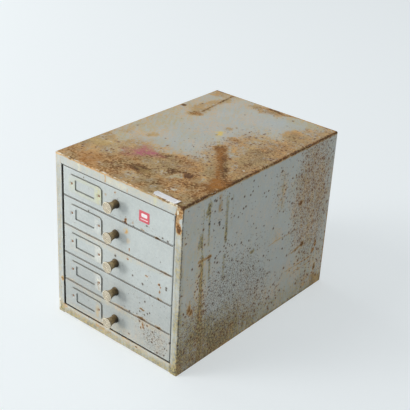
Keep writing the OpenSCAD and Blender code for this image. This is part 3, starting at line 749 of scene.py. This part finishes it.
dress(paintMaterial("trayPaint", trayLook, (lowest, pitch)), [f"drawer_{n}_tray" for n in drawerNumbers])
dress(paintMaterial("runnerPaint", dict(trayLook, rust=0.2), (lowest, pitch)),
      [f"{side}_runner_{n}" for n in drawerNumbers for side in ("left", "right")])
print("drawers painted")


knobLow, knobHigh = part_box("drawer_5_knob")
knobRadius = (knobHigh.x - knobLow.x) / 2
knobRim = 0.5 * mm                           # radius on the edge of the knob's face
ringCount = 4
knobLook = {
    "axis": ((knobLow.x + knobHigh.x) / 2, (knobLow.z + knobHigh.z) / 2),
    "ringPitch": (knobRadius - knobRim) / (ringCount + 0.5),
    "grooveShare": 0.38,                     # how far dirt reaches from a groove, in ring pitches
    "paleEnd": knobLow.y + 0.6 * mm,         # the pale face ends here
    "brownStart": knobLow.y + 3.0 * mm,      # and here the brown of the waist is full
    "bright": (0.88, 0.80, 0.62),
    "groove": (0.12, 0.075, 0.035),
    "patina": [(0.24, (0.026, 0.018, 0.009)), (0.48, (0.10, 0.066, 0.026)), (0.68, (0.24, 0.16, 0.068)),
               (0.92, (0.52, 0.39, 0.21))],
    "paintedLight": 0.56,                         # how much the painted light lifts the upper side and the outer end, and the painted shade darkens the underside and the foot
    "metallic": 0.25,
}


# turned brass: pale and dry on the face with dirt in its grooves, brown round the waist, with painted light
# on its upper side and painted shade underneath and at its foot
def knobMaterial(look):
    material, tree, shader, place = newMaterial("agedBrass")
    x, y, z = splitVector(tree, wrapHeight(tree, place, lowest, pitch))
    aside = calc(tree, "SUBTRACT", x, look["axis"][0])
    above = calc(tree, "SUBTRACT", z, look["axis"][1])
    radius = vectorCalc(tree, "LENGTH", joinVector(tree, aside, above, 0.0), output="Value")
    mottle = cloud(tree, place, 240.0, 6.0, 0.65)
    fine = cloud(tree, place, 1500.0, 3.0, 0.6)
    wobbly = calc(tree, "ADD", radius, swing(tree, mottle, 0.00012))
    ring = calc(tree, "PINGPONG", calc(tree, "DIVIDE", wobbly, look["ringPitch"]), 0.5)
    dirt = ease(tree, ring, look["grooveShare"] * 0.3, look["grooveShare"], 1.0, 0.0)
    groove = calc(tree, "MULTIPLY", dirt, ease(tree, mottle, 0.30, 0.45, 0.85, 1.0))
    depth = calc(tree, "ADD", y, swing(tree, mottle, 0.003))
    face = ease(tree, depth, look["paleEnd"], look["brownStart"], 1.0, 0.0)
    # painted light and shade on the waist: lighter on the upper side and towards the face, darker underneath
    # and at the foot
    upper = calc(tree, "DIVIDE", above, calc(tree, "MAXIMUM", radius, 0.001))
    outer = ease(tree, y, knobLow.y, knobHigh.y, 0.5, -0.5)
    litAndShaded = calc(tree, "ADD", calc(tree, "MULTIPLY", upper, 0.5), outer)
    paintedLightShift = calc(tree, "MULTIPLY", litAndShaded, look["paintedLight"])
    brown = ramp(tree, calc(tree, "ADD", calc(tree, "ADD", mottle, swing(tree, fine, 0.4)), paintedLightShift),
                 look["patina"])
    pale = blend(tree, groove, (*look["bright"], 1.0), (*look["groove"], 1.0))
    feed(tree, shader.inputs["Base Color"], blend(tree, face, brown, pale))
    feed(tree, shader.inputs["Roughness"], ease(tree, mottle, 0.3, 0.7, 0.42, 0.68))
    shader.inputs["Metallic"].default_value = look["metallic"]
    height = calc(tree, "ADD", mottle, calc(tree, "MULTIPLY", fine, 0.3))
    bump = addNode(tree, "ShaderNodeBump", {"Strength": 0.35, "Distance": 0.0002, "Height": height})
    feed(tree, shader.inputs["Normal"], bump.outputs[0])
    return material


# small steel parts, whose mottling runs between the colours of a ramp
def steelMaterial(name, look):
    material, tree, shader, place = newMaterial(name)
    mottle = cloud(tree, place, 500.0, 6.0, 0.65)
    fine = cloud(tree, place, 1700.0, 3.0, 0.6)
    feed(tree, shader.inputs["Base Color"], ramp(
        tree, calc(tree, "ADD", mottle, swing(tree, fine, 0.5)), look["mottling"]))
    feed(tree, shader.inputs["Roughness"], ease(tree, mottle, 0.3, 0.7, look["smooth"], look["rough"]))
    shader.inputs["Metallic"].default_value = look["metallic"]
    bump = addNode(tree, "ShaderNodeBump", {"Strength": 0.4, "Distance": 0.0002, "Height": mottle})
    feed(tree, shader.inputs["Normal"], bump.outputs[0])
    return material


rivetLook = {
    "mottling": [(0.30, (0.12, 0.06, 0.035)), (0.5, (0.30, 0.16, 0.09)), (0.70, (0.44, 0.29, 0.18))],
    "smooth": 0.65,
    "rough": 0.9,
    "metallic": 0.1,
}
screwLook = {
    "mottling": [(0.25, (0.20, 0.19, 0.17)), (0.5, (0.36, 0.35, 0.33)), (0.75, (0.30, 0.24, 0.18))],
    "smooth": 0.35,
    "rough": 0.6,
    "metallic": 0.8,
}
dress(knobMaterial(knobLook), [f"drawer_{n}_knob" for n in drawerNumbers])
dress(steelMaterial("rustyRivet", rivetLook), [f"drawer_{n}_label_rivets" for n in drawerNumbers])
dress(steelMaterial("dullSteel", screwLook), [f"drawer_{n}_knob_screw" for n in drawerNumbers])
print("fittings finished")


# a thin sheet with round corners, whose two ends may curl up; look gives its sizes in mm, and
# placeOf turns a point of the sheet, in mm, into the frame
def thinSheet(name, look, placeOf):
    across, along = look["cells"]
    length, width = look["size"]
    wave = random.Random(look["seed"])
    phases = [wave.uniform(0.0, 6.283) for _ in range(3)]
    mesh = bpy.data.meshes.new(name)
    sheet = bmesh.new()
    rows = []
    for i in range(across + 1):
        x = length * (i / across - 0.5)
        corner = look["corners"][x > 0]
        past = max(abs(x) - (length / 2 - corner), 0.0)
        half = width / 2 - corner + math.sqrt(max(corner ** 2 - past ** 2, 0.0))
        curled = max(abs(x) - (length / 2 - look["curl"]), 0.0) / look["curl"]
        lift = look["lift"][x > 0] * curled ** 2
        row = []
        for j in range(along + 1):
            y = half * (2 * j / along - 1)
            ripple = look["ripple"] * (1 + math.sin(x * 0.55 + phases[0]) * math.sin(y * 0.8 + phases[1]))
            ragged = look["ragged"] * math.sin(x * 2.3 + phases[2]) * (abs(j / along - 0.5) == 0.5)
            row.append(sheet.verts.new(placeOf(x, y + ragged, lift + ripple)))
        rows.append(row)
    for i in range(across):
        for j in range(along):
            face = sheet.faces.new((rows[i][j], rows[i + 1][j], rows[i + 1][j + 1], rows[i][j + 1]))
            face.smooth = True
    sheet.to_mesh(mesh)
    sheet.free()
    piece = bpy.data.objects.new(name, mesh)
    bpy.context.collection.objects.link(piece)
    thicken = piece.modifiers.new("thickness", "SOLIDIFY")
    thicken.thickness = look["thickness"] * mm
    thicken.offset = 1.0
    return piece


# 1 inside a panel with round corners that faces the front, 0 outside it; sizes in metres
def panelMask(tree, place, middle, size, corner):
    away = vectorCalc(tree, "ABSOLUTE", vectorCalc(tree, "SUBTRACT", place, middle))
    past = vectorCalc(tree, "SUBTRACT", away, (size[0] / 2 - corner, 1.0, size[1] / 2 - corner))
    reach = vectorCalc(tree, "LENGTH", vectorCalc(tree, "MAXIMUM", past, (0.0, 0.0, 0.0)), output="Value")
    return ease(tree, reach, corner - 0.1 * mm, corner + 0.1 * mm, 1.0, 0.0)


# paper, plain or printed in flat colours, with fibres, smudges and rubbed places
def paperMaterial(name, look, panels=()):
    material, tree, shader, place = newMaterial(name)
    fibre = cloud(tree, place, 1400.0, 4.0, 0.6)
    smudge = cloud(tree, place, 170.0, 5.0, 0.6, 0.7)
    colour = (*look["colour"], 1.0)
    for tint, middle, size, corner in panels:
        colour = blend(tree, panelMask(tree, place, middle, size, corner), colour, (*tint, 1.0))
    colour = blend(tree, ease(tree, smudge, 0.52, 0.75, 0.0, look["smudged"]), colour, (*look["dirt"], 1.0))
    colour = blend(tree, ease(tree, fibre, 0.55, 0.75, 0.0, look["rubbed"]), colour, (*look["bare"], 1.0))
    feed(tree, shader.inputs["Base Color"], colour)
    feed(tree, shader.inputs["Roughness"], ease(tree, fibre, 0.3, 0.7, look["smooth"], look["rough"]))
    bump = addNode(tree, "ShaderNodeBump", {"Strength": 0.25, "Distance": 0.0001, "Height": fibre})
    feed(tree, shader.inputs["Normal"], bump.outputs[0])
    return material


paperLabel = {
    "middle": (71.9, -143.2),                # mm, on the casing's top
    "raised": 0.05,                          # mm, off the paint under it
    "turn": -1.5,                            # degrees
    "size": (35.5, 8.6),
    "corners": (2.8, 0.8),                   # at the left and at the right end
    "lift": (0.7, 1.0),
    "curl": 6.0,
    "ripple": 0.05,
    "ragged": 0.1,
    "thickness": 0.12,
    "cells": (60, 12),
    "seed": 3,
    "colour": (0.97, 0.97, 0.98),
    "bare": (0.97, 0.97, 0.96),
    "dirt": (0.62, 0.56, 0.46),
    "smudged": 0.35,
    "rubbed": 0.4,
    "smooth": 0.7,
    "rough": 0.9,
}
sticker = {
    "middle": (44.4, 189.0),                 # mm, on the top drawer's front
    "raised": 0.03,
    "size": (15.8, 13.8),
    "corners": (0.7, 0.7),
    "lift": (0.0, 0.0),
    "curl": 1.0,
    "ripple": 0.015,
    "ragged": 0.0,
    "thickness": 0.08,
    "cells": (48, 24),
    "seed": 8,
    "colour": (0.62, 0.085, 0.115),
    "bare": (0.80, 0.55, 0.55),
    "dirt": (0.50, 0.12, 0.12),
    "smudged": 0.3,
    "rubbed": 0.35,
    "smooth": 0.35,
    "rough": 0.6,
    "panel": (0.0, 1.6, 9.0, 4.6, 1.4),      # middle, width, height and corner, in mm
    "bar": (0.0, -3.6, 11.0, 0.9, 0.4),
    "white": (0.85, 0.80, 0.80),
}


def addLabel(look):
    turn = Matrix.Rotation(math.radians(look["turn"]), 3, "Z")
    middle = Vector((*look["middle"], 0.0)) * mm
    middle.z = high.z + look["raised"] * mm
    label = thinSheet("paper_label", look, lambda x, y, z: middle + turn @ (Vector((x, y, z)) * mm))
    label.data.materials.append(paperMaterial("blankPaper", look))
    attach(label, "cabinet")


def addSticker(look):
    middle = Vector((look["middle"][0], 0.0, look["middle"][1])) * mm
    middle.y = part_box(fronts[0])[0].y - look["raised"] * mm
    patch = thinSheet("red_sticker", look, lambda x, y, z: middle + Vector((x, -z, y)) * mm)
    panels = []
    for part in ("panel", "bar"):
        x, z, width, height, corner = [value * mm for value in look[part]]
        panels.append((look["white"], middle + Vector((x, 0.0, z)), (width, height), corner))
    patch.data.materials.append(paperMaterial("redSticker", look, panels))
    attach(patch, "drawer_1")


addLabel(paperLabel)
addSticker(sticker)
print("label and sticker added")
